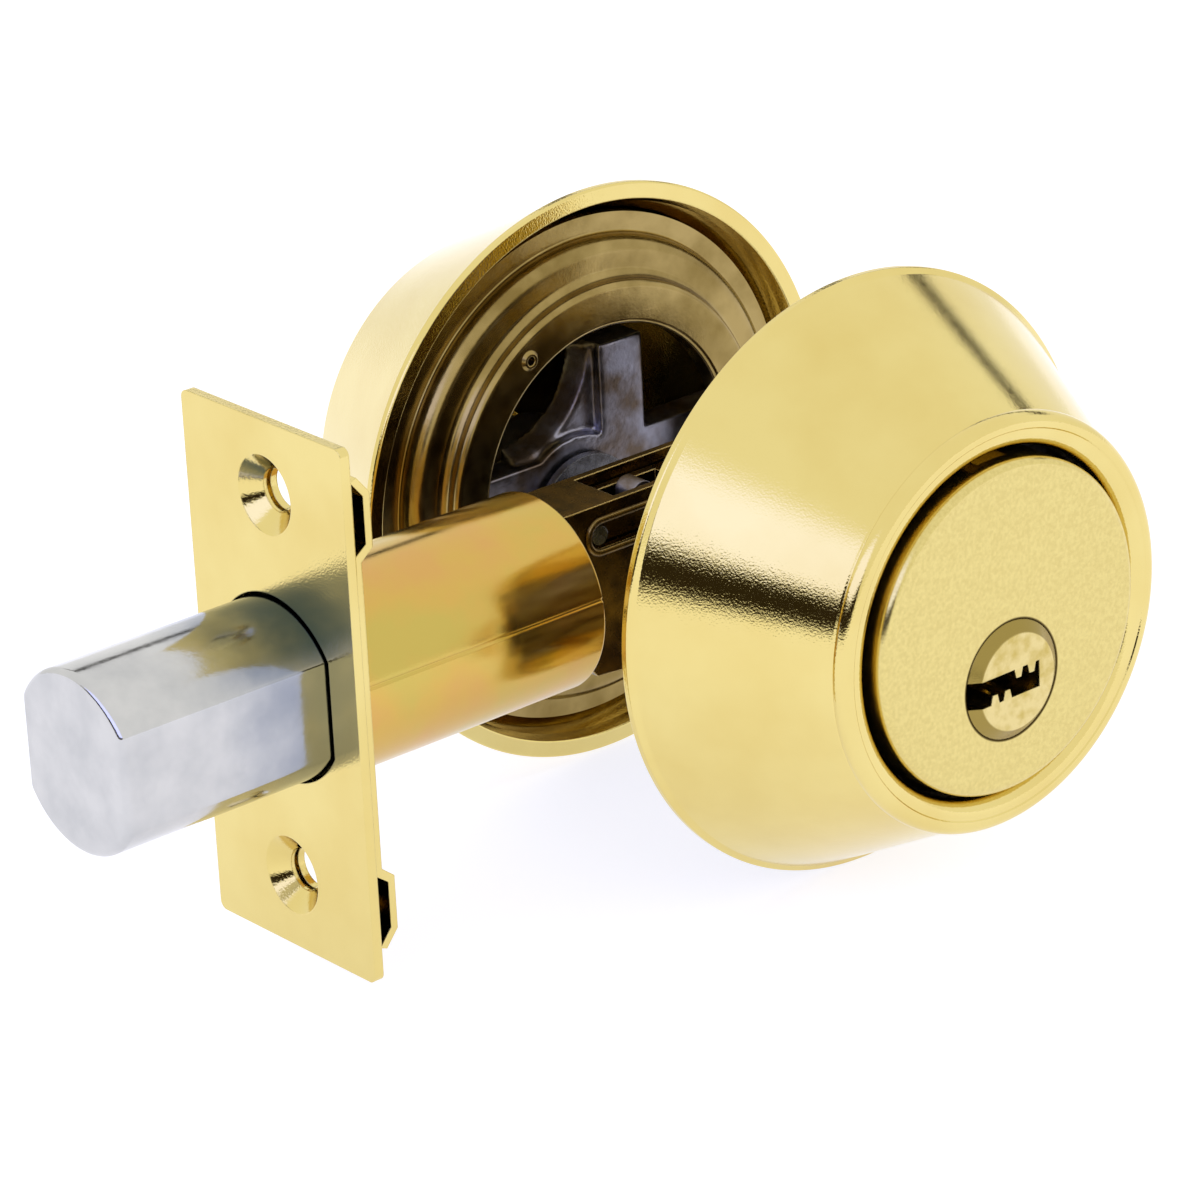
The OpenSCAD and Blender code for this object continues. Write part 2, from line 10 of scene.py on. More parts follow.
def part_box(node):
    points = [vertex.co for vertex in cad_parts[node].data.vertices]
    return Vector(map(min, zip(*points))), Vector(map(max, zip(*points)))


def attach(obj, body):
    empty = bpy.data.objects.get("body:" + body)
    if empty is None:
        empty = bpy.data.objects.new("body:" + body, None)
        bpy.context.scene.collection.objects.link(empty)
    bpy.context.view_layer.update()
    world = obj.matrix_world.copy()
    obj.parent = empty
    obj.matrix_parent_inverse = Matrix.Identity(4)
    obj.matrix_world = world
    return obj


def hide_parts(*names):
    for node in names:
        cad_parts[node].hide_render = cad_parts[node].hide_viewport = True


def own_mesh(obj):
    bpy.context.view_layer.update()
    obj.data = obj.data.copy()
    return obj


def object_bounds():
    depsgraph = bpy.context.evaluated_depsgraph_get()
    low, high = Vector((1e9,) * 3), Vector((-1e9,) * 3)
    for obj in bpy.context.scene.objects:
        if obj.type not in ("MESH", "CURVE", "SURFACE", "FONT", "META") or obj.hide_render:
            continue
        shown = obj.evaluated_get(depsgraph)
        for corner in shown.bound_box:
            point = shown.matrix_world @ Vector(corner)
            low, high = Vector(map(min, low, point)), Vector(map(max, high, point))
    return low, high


bl_info = {
    "name": "Tubular Deadbolt",
    "version": (1, 0, 0),
    "blender": (4, 5, 0),
    "location": "View3D > Sidebar > Deadbolt",
    "description": "Builds the trims, latch and bolt of a tubular deadbolt round its frame",
    "category": "Add Mesh",
}

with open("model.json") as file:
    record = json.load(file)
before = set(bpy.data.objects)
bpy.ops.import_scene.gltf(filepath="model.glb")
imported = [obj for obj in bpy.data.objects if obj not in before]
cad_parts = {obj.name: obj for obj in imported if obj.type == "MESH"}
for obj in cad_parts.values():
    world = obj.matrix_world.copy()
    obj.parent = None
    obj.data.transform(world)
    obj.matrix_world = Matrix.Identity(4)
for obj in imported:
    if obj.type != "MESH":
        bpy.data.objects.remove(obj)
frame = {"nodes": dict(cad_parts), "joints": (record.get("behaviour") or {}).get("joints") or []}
CAD_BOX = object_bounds()
MM = 0.001


def high(node):
    """The highest corner of a node's box."""
    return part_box(node)[1]


def low(node):
    """The lowest corner of a node's box."""
    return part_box(node)[0]


# the trims' radius at the door, the door's half thickness, how far the trims reach from the door's
# middle, and the height of the plug's axis
RIM = high("outer_collar").x
DOOR = -high("outer_collar").y
TOP = -low("outer_collar").y
AXIS = (low("key_plug").z + high("key_plug").z) / 2

# the sheet's thickness measured level across the slanting cone, as a share of its real thickness
SLANT = 1.13
# rounding of the kept nodes' sharp edges, in mm
EDGE = 0.2
# range that a noise's values mostly fill
NOISE_LOW, NOISE_HIGH = 0.3, 0.7
# a distance that counts as nothing, in metres
TINY = 1e-9


def hue(code):
    """Linear red, green and blue of an sRGB hex colour such as C9B052."""
    srgb = np.array([int(code[i:i + 2], 16) for i in (0, 2, 4)]) / 255
    linear = np.where(srgb <= 0.04045, srgb / 12.92, ((srgb + 0.055) / 1.055) ** 2.4)
    return tuple(float(c) for c in linear)


def length(name, default, description):
    """A size in metres that a user can change."""
    return bpy.props.FloatProperty(
        name=name, default=default, description=description, unit="LENGTH", subtype="DISTANCE", precision=5)


def colour(name, code, description):
    """A colour that a user can change."""
    return bpy.props.FloatVectorProperty(
        name=name, default=hue(code), description=description, subtype="COLOR", size=3, min=0, max=1)


class DeadboltTrimSizes(bpy.types.PropertyGroup):
    """Sizes of the two tapered trims."""
    wall: length("Wall", 1.5 * MM, "Sheet thickness of the trims")
    band: length("Rim band", 0.9 * MM, "Height of the straight band at the rim")
    step: length("Rim step", 0.65 * MM, "How far the cone steps in from the rim band")
    small: length("Small end", 22.2 * MM, "Radius of the cone's small end")
    lip: length("Lip", 1.9 * MM, "Radius of the collar's rolled lip")
    groove: length("Lip groove", 0.3 * MM, "Depth of the soft groove between cone and lip")
    thumb_hole: length("Thumbturn hole", 7.6 * MM, "Radius of the hole for the thumbturn's shank")
    shoulder: length("Plate shoulder", 1.9 * MM, "Rounding of the mounting plate's pressed shoulders")
    dimple: length("Plate dimple", 1.15 * MM, "Radius of the raised dimple in the mounting plate")


class DeadboltLatchSizes(bpy.types.PropertyGroup):
    """Sizes of the barrel, the bolt and the springs."""
    barrel_wall: length("Barrel wall", 0.7 * MM, "Wall of the barrel")
    seam: length("Seam depth", 0.16 * MM, "Depth of the rolled barrel's seam")
    seam_at: bpy.props.FloatProperty(
        name="Seam angle", default=math.radians(169), subtype="ANGLE", unit="ROTATION",
        description="Place of the seam round the barrel, from the inside face over the top")
    slot_rim: length("Slot rim", 0.42 * MM, "Radius of the bead rolled round the case's slots")
    bolt_edge: length("Bolt edge", 0.075 * MM, "Softness of the edges between the bolt's flats and rounds")
    bolt_nose: length("Bolt nose", 0.75 * MM, "Rounding of the bolt's nose")
    wire: length("Spring wire", 0.24 * MM, "Diameter of the pin springs' wire")


class DeadboltColours(bpy.types.PropertyGroup):
    """Colours of the finishes."""
    brass: colour("Brass", "E2CF86", "Clear-lacquered polished brass")
    brass_warm: colour("Brass, warm", "DCC67A", "Warmer clouds in the lacquered brass")
    face_brass: colour("Face brass", "DCCA82", "Fine-blasted brass of the cylinder's face")
    face_deep: colour("Face brass, deep", "D3C079", "Deeper grains of the blasted brass")
    plug_brass: colour("Plug brass", "DCC98A", "Bare brass of the key plug")
    plug_dull: colour("Plug brass, dull", "C4AE63", "Tarnished patches of the bare brass")
    # a painted dark reflection on the plug's chamfer
    chamfer: colour("Plug chamfer", "9A8646", "Painted dark reflection on the chamfer round the plug's face")
    # a painted shade of the narrow gap round the plug
    gap: colour("Plug gap", "5A4A20", "Painted shade of the gap round the plug")
    chromate: colour("Chromate", "D0AC59", "Yellow chromate on zinc plate")
    chromate_pink: colour("Chromate, pink", "D2A65E", "Pink clouds of the chromate")
    chromate_green: colour("Chromate, green", "C6B05A", "Green clouds of the chromate")
    # the case's chromate, painted dark brown as shade and dark reflection from the collar
    case: colour("Case", "6A5226", "Chromate of the mechanism's case, painted dark as shade")
    case_deep: colour("Case, deep", "3F2F18", "Deeper patches of the case's chromate")
    painted_edge_highlight: colour("Painted edge highlights", "E8CB85", "Painted highlight along the case's edges")
    # a painted highlight along the case's edges
    plate: colour("Plate", "A6905A", "Dull chromate of the mounting plate")
    plate_deep: colour("Plate, deep", "836E3C", "Deeper patches of the plate's chromate")
    nickel: colour("Nickel", "CBCAC8", "Satin nickel of the bolt")
    nickel_deep: colour("Nickel, deep", "BDBDBC", "Darker mottle of the nickel")
    # a painted dark reflection on the bolt by the plate
    film: colour("Oil film", "4C5F80", "Thin dark film on the bolt where it leaves the plate")
    zinc: colour("Zinc", "9C9BA8", "Grey die-cast zinc")
    zinc_brown: colour("Zinc, brown", "6E6054", "Brown patches of the zinc")
    # steel painted darker than bare steel, as shade for the parts inside the lock
    steel: colour("Steel", "85858A", "Drawn steel")
    steel_deep: colour("Steel, deep", "5E5E63", "Darker patches of the steel")
    # hardened steel painted dark grey, as shade for the parts inside the lock
    painted_shade_steel: colour("Black steel", "4A4A4E", "Hardened steel painted dark as shade")
    floor: colour("Floor", "B4B4B4", "Pale floor, which also glows")


# ---------- surfaces ----------

def outline(corners, closed, steps=8):
    """Points and outward normals of an outline given by corners of (radius, depth, rounding).
    The outline runs so that the material is on its left. At each corner the direction turns steadily
    from one edge to the next while the point moves round an arc of the corner's rounding; an open
    outline's two ends stay as they are."""
    table = np.array(corners, float)
    p, rounding = table[:, :2], table[:, 2]
    n = len(p)
    points, normals = [], []
    for i in range(n):
        ends = not closed and i in (0, n - 1)
        into = p[i] - p[i - 1] if i > 0 or closed else p[1] - p[0]
        out = p[(i + 1) % n] - p[i] if i < n - 1 or closed else p[-1] - p[-2]
        a0 = math.atan2(into[1], into[0])
        turn = (math.atan2(out[1], out[0]) - a0 + math.pi) % (2 * math.pi) - math.pi
        if ends or abs(turn) < 1e-6:
            a = np.array([a0 + turn / 2])
            arc = p[i][None]
        else:
            r = rounding[i]
            side = math.copysign(1, turn)
            back = r * math.tan(abs(turn) / 2)
            start = p[i] - back * np.array([math.cos(a0), math.sin(a0)])
            centre = start + side * r * np.array([-math.sin(a0), math.cos(a0)])
            a = a0 + turn * np.linspace(0, 1, steps)
            arc = centre + side * r * np.stack([np.sin(a), -np.cos(a)], 1)
        points.append(arc)
        normals.append(np.stack([np.sin(a), -np.cos(a)], 1))
    return np.concatenate(points), np.concatenate(normals)


def fine(profile, normals, pitch):
    """The closed profile with points added so that no two are further apart than the pitch."""
    ahead, turned = np.roll(profile, -1, 0), np.roll(normals, -1, 0)
    count = np.maximum(1, np.ceil(np.hypot(*(ahead - profile).T) / pitch)).astype(int)
    start = np.repeat(np.arange(len(profile)), count)
    part = (np.arange(count.sum()) - np.repeat(np.cumsum(count) - count, count)) / count[start]
    points = profile[start] + part[:, None] * (ahead - profile)[start]
    facing = normals[start] + part[:, None] * (turned - normals)[start]
    return points, facing / np.linalg.norm(facing, axis=1, keepdims=True)


def grid_piece(name, points, normals, wrap_rows=False, wrap_columns=True, keep=None):
    """A mesh over a grid of points, rows by columns. Each cell is one face; a row whose points all
    coincide is a pole and its cells are triangles. wrap joins the last row or column to the first,
    and keep, if given, says which points stay."""
    rows, columns = points.shape[:2]
    index = np.arange(rows * columns).reshape(rows, columns)
    poles = np.ptp(points, axis=1).max(axis=1) < TINY
    index[poles] = index[poles][:, :1]
    if wrap_rows:
        index = np.vstack([index, index[:1]])
    if wrap_columns:
        index = np.hstack([index, index[:, :1]])
    cells = np.stack([index[:-1, :-1], index[:-1, 1:], index[1:, 1:], index[1:, :-1]], -1).reshape(-1, 4)
    if keep is not None:
        cells = cells[keep.reshape(-1)[cells].all(axis=1)]
    xyz, outward = points.reshape(-1, 3), normals.reshape(-1, 3)
    cross = np.cross(xyz[cells[:, 2]] - xyz[cells[:, 0]], xyz[cells[:, 3]] - xyz[cells[:, 1]])
    if (cross * outward[cells[:, 0]]).sum() < 0:
        cells = cells[:, ::-1]
    first, last = cells[:, 0] == cells[:, 1], cells[:, 2] == cells[:, 3]
    whole = ~(first | last)
    triangles = np.concatenate([cells[first][:, [0, 2, 3]], cells[last][:, [0, 1, 2]]])
    named = np.concatenate([cells[whole].reshape(-1), triangles.reshape(-1)])
    used, flat = np.unique(named, return_inverse=True)
    quads = flat[:4 * whole.sum()].reshape(-1, 4)
    mesh = bpy.data.meshes.new(name)
    mesh.from_pydata(xyz[used].tolist(), [], quads.tolist() + flat[quads.size:].reshape(-1, 3).tolist())
    mesh.shade_smooth()
    mesh.normals_split_custom_set_from_vertices(outward[used].tolist())
    piece = bpy.data.objects.new(name, mesh)
    bpy.context.collection.objects.link(piece)
    return piece


def carried_round_y(profile, normals, side, centre=0.0, segments=256):
    """A profile of (radius, depth) carried round an axis along Y: x is radius times cosine, z is radius
    times sine plus the centre's height, y is side times depth. centre may be a height for each point."""
    a = np.linspace(0, 2 * np.pi, segments, endpoint=False)
    (r, d), (out, along) = np.hsplit(profile, 2), np.hsplit(normals, 2)
    flat = np.ones_like(a)
    raised = np.reshape(centre, (-1, 1)) * flat
    points = np.stack([r * np.cos(a), side * d * flat, r * np.sin(a) + raised], -1)
    facing = np.stack([out * np.cos(a), side * along * flat, out * np.sin(a)], -1)
    return points, facing


def dress(piece, material, body, slot, *nodes):
    """Gives a new piece its material and body, and hides the nodes that it stands for. slot is not used."""
    piece.data.materials.append(material)
    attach(piece, body)
    if nodes:
        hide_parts(*nodes)
    return piece


def softened(name, node, voxel, rounds):
    """A copy of a node as a casting with soft edges: merged, remeshed in cells of one voxel and smoothed."""
    source = frame["nodes"][node]
    piece = bpy.data.objects.new(name, source.data.copy())
    bpy.context.collection.objects.link(piece)
    weld = piece.modifiers.new("Weld", "WELD")
    weld.merge_threshold = 1e-6
    cells = piece.modifiers.new("Cells", "REMESH")
    cells.mode = "VOXEL"
    cells.voxel_size = voxel
    cells.use_smooth_shade = True
    smooth = piece.modifiers.new("Soft edges", "SMOOTH")
    smooth.factor = 0.5
    smooth.iterations = rounds
    mesh = bpy.data.meshes.new_from_object(piece.evaluated_get(bpy.context.evaluated_depsgraph_get()))
    piece.modifiers.clear()
    piece.data = mesh
    mesh.materials.clear()
    mesh.shade_smooth()
    return piece


# ---------- finishes ----------

def put(tree, kind, inputs=(), **settings):
    """Adds a node with its settings, and gives each named input a value or a link."""
    n = tree.nodes.new(kind)
    for key, value in settings.items():
        setattr(n, key, value)
    for key, value in dict(inputs).items():
        if isinstance(value, bpy.types.NodeSocket):
            tree.links.new(value, n.inputs[key])
        else:
            n.inputs[key].default_value = value
    return n


def metal(name, stops, cloud, rough, grain, along=(1, 1, 1), bevel=0.0, painted_edge_highlight=None, film=None, ring=None):
    """A metal in three layers: clouds of colour at the given stops, cloud mm across; a roughness that
    drifts between two values over a third, in mm; and a relief of grain mm across and deep, stretched
    along. bevel rounds sharp edges to the eye, and the edge colour paints a highlight along them. The
    reflection colour is a painted dark reflection, with the ends of the length along X over which it fades
    in, most on upward faces. ring is a colour with the two radii round the plug's axis between which it
    fades in."""
    material = bpy.data.materials.new(name)
    material.use_nodes = True
    tree = material.node_tree
    tree.nodes.clear()
    where = put(tree, "ShaderNodeTexCoord").outputs["Object"]
    mottle = put(tree, "ShaderNodeTexNoise", {"Vector": where, "Scale": 1 / (cloud * MM), "Detail": 4.0})
    ramp = put(tree, "ShaderNodeValToRGB", {"Fac": mottle.outputs["Fac"]})
    while len(ramp.color_ramp.elements) < len(stops):
        ramp.color_ramp.elements.new(0.5)
    for element, (place, value) in zip(ramp.color_ramp.elements, stops):
        element.position = place
        element.color = (*value, 1)
    tint = ramp.outputs["Color"]
    drift = put(tree, "ShaderNodeTexNoise", {"Vector": where, "Scale": 1 / (rough[2] * MM), "Detail": 3.0})
    shine = put(tree, "ShaderNodeMapRange", {
        "Value": drift.outputs["Fac"], "From Min": NOISE_LOW, "From Max": NOISE_HIGH,
        "To Min": rough[0], "To Max": rough[1]})
    drawn = put(tree, "ShaderNodeMapping", {"Vector": where, "Scale": along})
    grains = put(tree, "ShaderNodeTexNoise", {
        "Vector": drawn.outputs["Vector"], "Scale": 1 / (grain[0] * MM), "Detail": 2.0})
    relief = put(tree, "ShaderNodeBump", {
        "Height": grains.outputs["Fac"], "Distance": grain[1] * MM, "Strength": 1.0})
    if bevel:
        soft = put(tree, "ShaderNodeBevel", {"Radius": bevel * MM}, samples=4)
        tree.links.new(soft.outputs["Normal"], relief.inputs["Normal"])
    if painted_edge_highlight:
        # painted highlight along sharp edges: where the bevelled normal bends away from the flat one, the
        # colour turns to the highlight colour
        flat = put(tree, "ShaderNodeNewGeometry").outputs["True Normal"]
        bent = put(tree, "ShaderNodeVectorMath", {0: soft.outputs["Normal"], 1: flat},
                   operation="DOT_PRODUCT")
        begins, full = 0.995, 0.9
        edge_lit = put(tree, "ShaderNodeMapRange", {
            "Value": bent.outputs["Value"], "From Min": begins, "From Max": full})
        tint = put(tree, "ShaderNodeMix", {
            "Factor": edge_lit.outputs["Result"], 6: tint, 7: (*painted_edge_highlight, 1)}, data_type="RGBA").outputs[2]
    if film:
        # painted dark reflection: the colour fades in along X towards the plate, most on upward faces
        blotch, wander, side_share, level_from, level_to = 5 * MM, 9 * MM, 0.55, 0.4, 0.75
        place = put(tree, "ShaderNodeSeparateXYZ", {"Vector": where})
        faces = put(tree, "ShaderNodeNewGeometry").outputs["Normal"]
        up = put(tree, "ShaderNodeSeparateXYZ", {"Vector": faces})
        wave = put(tree, "ShaderNodeTexNoise", {"Vector": where, "Scale": 1 / blotch, "Detail": 3.0})
        shifted = put(tree, "ShaderNodeMath", {
            0: wave.outputs["Fac"], 1: wander, 2: place.outputs["X"]}, operation="MULTIPLY_ADD")
        near = put(tree, "ShaderNodeMapRange", {
            "Value": shifted.outputs["Value"], "From Min": film[1], "From Max": film[2]},
            interpolation_type="SMOOTHSTEP")
        above = put(tree, "ShaderNodeMapRange", {
            "Value": up.outputs["Z"], "From Min": level_from, "From Max": level_to, "To Min": side_share},
            interpolation_type="SMOOTHSTEP")
        share = put(tree, "ShaderNodeMath", {0: near.outputs["Result"], 1: above.outputs["Result"]},
                    operation="MULTIPLY")
        tint = put(tree, "ShaderNodeMix", {
            "Factor": share.outputs["Value"], 6: tint, 7: (*film[0], 1)}, data_type="RGBA").outputs[2]
    if ring:
        apart = put(tree, "ShaderNodeVectorMath", {0: where, 1: (0, 0, AXIS)}, operation="SUBTRACT")
        level = put(tree, "ShaderNodeVectorMath", {0: apart.outputs["Vector"], 1: (1, 0, 1)},
                    operation="MULTIPLY")
        far = put(tree, "ShaderNodeVectorMath", {0: level.outputs["Vector"]}, operation="LENGTH")
        within = put(tree, "ShaderNodeMapRange", {
            "Value": far.outputs["Value"], "From Min": ring[1], "From Max": ring[2]})
        tint = put(tree, "ShaderNodeMix", {
            "Factor": within.outputs["Result"], 6: tint, 7: (*ring[0], 1)}, data_type="RGBA").outputs[2]
    bsdf = put(tree, "ShaderNodeBsdfPrincipled", {
        "Base Color": tint, "Roughness": shine.outputs["Result"], "Metallic": 1.0,
        "Normal": relief.outputs["Normal"]})
    put(tree, "ShaderNodeOutputMaterial", {"Surface": bsdf.outputs["BSDF"]})
    return material


def lacquered_brass(c, bevel):
    """Polished sheet brass under clear lacquer: crisp mirror bands whose edges break up in a fine grain."""
    stops = [(0.3, c.brass_warm), (0.6, c.brass)]
    return metal("lacquered_brass", stops, 14, (0.05, 0.08, 3), (0.22, 0.015), bevel=bevel)


def blasted_brass(c, bevel):
    """Fine-blasted lacquered brass: an even soft sheen with a grain that just shows."""
    stops = [(0.35, c.face_deep), (0.65, c.face_brass)]
    r = high("key_plug").x
    # painted shade of the gap round the plug: the face darkens from 0.3 mm out to fully at 0.15 mm from the
    # plug's edge
    ring = (c.gap, r + 0.3 * MM, r + 0.15 * MM)
    return metal("blasted_brass", stops, 0.4, (0.16, 0.2, 2), (0.22, 0.007), bevel=bevel, ring=ring)


def bare_brass(c, bevel):
    """Bare turned brass: bright, with fingered darker patches and light turning marks."""
    stops = [(0.33, c.plug_dull), (0.6, c.plug_brass)]
    r = high("key_plug").x
    # painted dark reflection on the chamfer round the plug's face, fading in between these radii
    ring = (c.chamfer, r - 1.25 * MM, r - 1.1 * MM)
    return metal("bare_brass", stops, 1.6, (0.12, 0.2, 1), (0.35, 0.006), (1, 1, 5), bevel, ring=ring)


def yellow_chromate(c, bevel):
    """Yellow chromate over zinc plate: a clear shine with slow pink and green clouds."""
    stops = [(0.34, c.chromate_pink), (0.5, c.chromate), (0.66, c.chromate_green)]
    return metal("yellow_chromate", stops, 11, (0.13, 0.18, 3), (0.4, 0.005), (0.3, 1, 1), bevel)


def painted_shade_chromate(c, bevel):
    """Yellow chromate on the sheared case, painted brown and nearly black as the shade and dark reflection it
    sits in, with a painted highlight along its edges in brass yellow.
    """
    stops = [(0.35, c.case_deep), (0.65, c.case)]
    return metal("painted_shade_chromate", stops, 3, (0.2, 0.32, 2), (0.4, 0.008), bevel=bevel, painted_edge_highlight=c.painted_edge_highlight)


def dull_chromate(c, bevel):
    """Dull chromate on pressed steel: an olive brown with a soft satin shine."""
    stops = [(0.32, c.plate_deep), (0.62, c.plate)]
    return metal("dull_chromate", stops, 6, (0.17, 0.27, 2), (0.4, 0.008), bevel=bevel)


def satin_nickel(c, bevel):
    """Satin nickel on a die-cast bolt: neutral, softly mottled, with a painted dark reflection by the plate.
    """
    stops = [(0.3, c.nickel_deep), (0.65, c.nickel)]
    plate = low("faceplate").x
    # the painted dark reflection fades in over this length along X, ending past the plate's front
    film = (tuple(c.film), plate - 12 * MM, plate + 4 * MM)
    return metal("satin_nickel", stops, 4, (0.1, 0.17, 3), (0.45, 0.009), (0.5, 1, 1), bevel, film=film)


def die_cast_zinc(c, bevel):
    """Grey die-cast zinc: matt and slightly pitted, bluish with brown patches."""
    stops = [(0.38, c.zinc_brown), (0.6, c.zinc)]
    return metal("die_cast_zinc", stops, 5, (0.28, 0.42, 1.2), (0.6, 0.03), bevel=bevel)


def drawn_steel(c, bevel):
    """Drawn steel wire and sheet: mid grey with a soft shine, painted darker than bare steel as shade for the
    springs and parts inside the lock.
    """
    stops = [(0.3, c.steel_deep), (0.7, c.steel)]
    return metal("drawn_steel", stops, 2, (0.2, 0.32, 1), (0.3, 0.004), bevel=bevel)


def hardened_steel(c, bevel):
    """Hardened steel, painted dark grey as shade for the parts inside the lock."""
    deep = tuple(0.6 * v for v in c.painted_shade_steel)
    stops = [(0.3, deep), (0.7, c.painted_shade_steel)]
    return metal("hardened_steel", stops, 2, (0.25, 0.4, 1), (0.3, 0.004), bevel=bevel)


MAKERS = {
    "polished_brass": lacquered_brass, "cylinder_brass": blasted_brass, "plug_brass": bare_brass,
    "pin_brass": bare_brass, "bolt_steel": satin_nickel, "zinc_yellow": yellow_chromate,
    "plate_yellow": dull_chromate, "bright_steel": drawn_steel, "hard_steel": hardened_steel,
    "grey_zinc": die_cast_zinc,
}
# nodes of the mechanism whose yellow chromate takes the copy painted dark as shade
SHADED_NODES = ("latch_case", "bolt_tail")


def finish_for(slot, bevel=0.0, maker=None):
    """The material of a slot, made the first time it is asked for, with edges rounded by a bevel in mm."""
    maker = maker or MAKERS[slot]
    name = maker.__name__ + ("_part" if bevel else "")
    made = bpy.data.materials.get(name) or maker(bpy.context.scene.deadbolt_colours, bevel)
    made.name = name
    return made


# ---------- pieces ----------

def mouth(s):
    """Inside radius of a trim at the door."""
    return RIM - s.step - SLANT * s.wall


def trim_outline(s, corners):
    """Outline of a trim: the flared mouth, rim band and step that both have, and then its own corners."""
    flare, flare_depth, slope = 0.5 * MM, 1.3 * MM, 0.4 * MM
    at_door = [(mouth(s) + flare, DOOR, 0.25 * MM), (RIM, DOOR, 0.3 * MM),
               (RIM, DOOR + s.band, 0.25 * MM), (RIM - s.step, DOOR + s.band + slope, 0.2 * MM)]
    within = [(mouth(s), DOOR + flare_depth, 0.3 * MM)]
    return outline(at_door + corners + within, closed=True, steps=10)


class DEADBOLT_OT_collar(bpy.types.Operator):
    """Adds the outside collar: a tapered cup of sheet brass with a rolled lip round the cylinder."""
    bl_idname = "deadbolt.collar"
    bl_label = "Outside Collar"

    def execute(self, context):
        s = context.scene.deadbolt_trim
        cone_end, depth = s.small - 0.2 * MM, TOP - 2 * MM
        throat = s.small - s.lip + 0.1 * MM - s.lip
        front, ledge, sunk = s.small - 1.55 * MM, s.small - 1.7 * MM, TOP - 0.14 * MM
        profile, normals = trim_outline(s, [
            (cone_end, depth, 0.16 * MM), (cone_end - s.groove, depth + 0.3 * MM, 0.14 * MM),
            (s.small, depth + 0.55 * MM, 0.16 * MM), (s.small, TOP, 1.25 * MM),
            (front, TOP, 0.06 * MM), (ledge, sunk, 0.06 * MM), (throat, sunk, 1.6 * MM),
            (throat, TOP - 2.6 * s.lip + 1.2 * MM, 0.5 * MM)])
        points, facing = carried_round_y(profile, normals, -1, segments=320)
        piece = grid_piece("collar_shell", points, facing, wrap_rows=True)
        dress(piece, finish_for("polished_brass"), "lock_body", "polished_brass", "outer_collar")
        return {"FINISHED"}


class DEADBOLT_OT_rose(bpy.types.Operator):
    """Adds the inside rose: the same tapered cup, closed by a flat end with the thumbturn's hole."""
    bl_idname = "deadbolt.rose"
    bl_label = "Inside Rose"

    def execute(self, context):
        s = context.scene.deadbolt_trim
        flat, within = s.small - 3.2 * MM, TOP - s.wall
        profile, normals = trim_outline(s, [
            (s.small - 0.3 * MM, TOP, 1.5 * MM), (flat, TOP, 0), (s.thumb_hole, TOP, 0.3 * MM),
            (s.thumb_hole, within, 0.3 * MM), (flat, within, 0), (s.small - 2.2 * MM, within, 0.8 * MM)])
        # the hole lies on the plug's axis, so the flat end's centre moves there from the rose's own
        share = np.clip((flat - profile[:, 0]) / (flat - s.thumb_hole - 0.4 * MM), 0, 1)
        points, facing = carried_round_y(profile, normals, 1, centre=AXIS * share, segments=320)
        piece = grid_piece("rose_shell", points, facing, wrap_rows=True)
        dress(piece, finish_for("polished_brass"), "lock_body", "polished_brass", "inner_rose")
        return {"FINISHED"}


def round_the_axis(radius, degrees):
    """The level and upright place at a radius and an angle, measured from +X towards +Z."""
    angle = math.radians(degrees)
    return radius * np.array([math.cos(angle), math.sin(angle)])


def open_hole(points, sheet, centre, radius):
    """Moves the sheet's points near a hole's edge onto its circle, and says which points lie inside it."""
    near = 0.09 * MM
    away = points[..., [0, 2]] - centre
    far = np.hypot(away[..., 0], away[..., 1])
    edge = np.abs(far - radius) < near
    snap = centre + away * (radius / np.maximum(far, TINY))[..., None]
    points[..., [0, 2]] = np.where((edge & sheet)[..., None], snap, points[..., [0, 2]])
    return (far < radius - near) & sheet


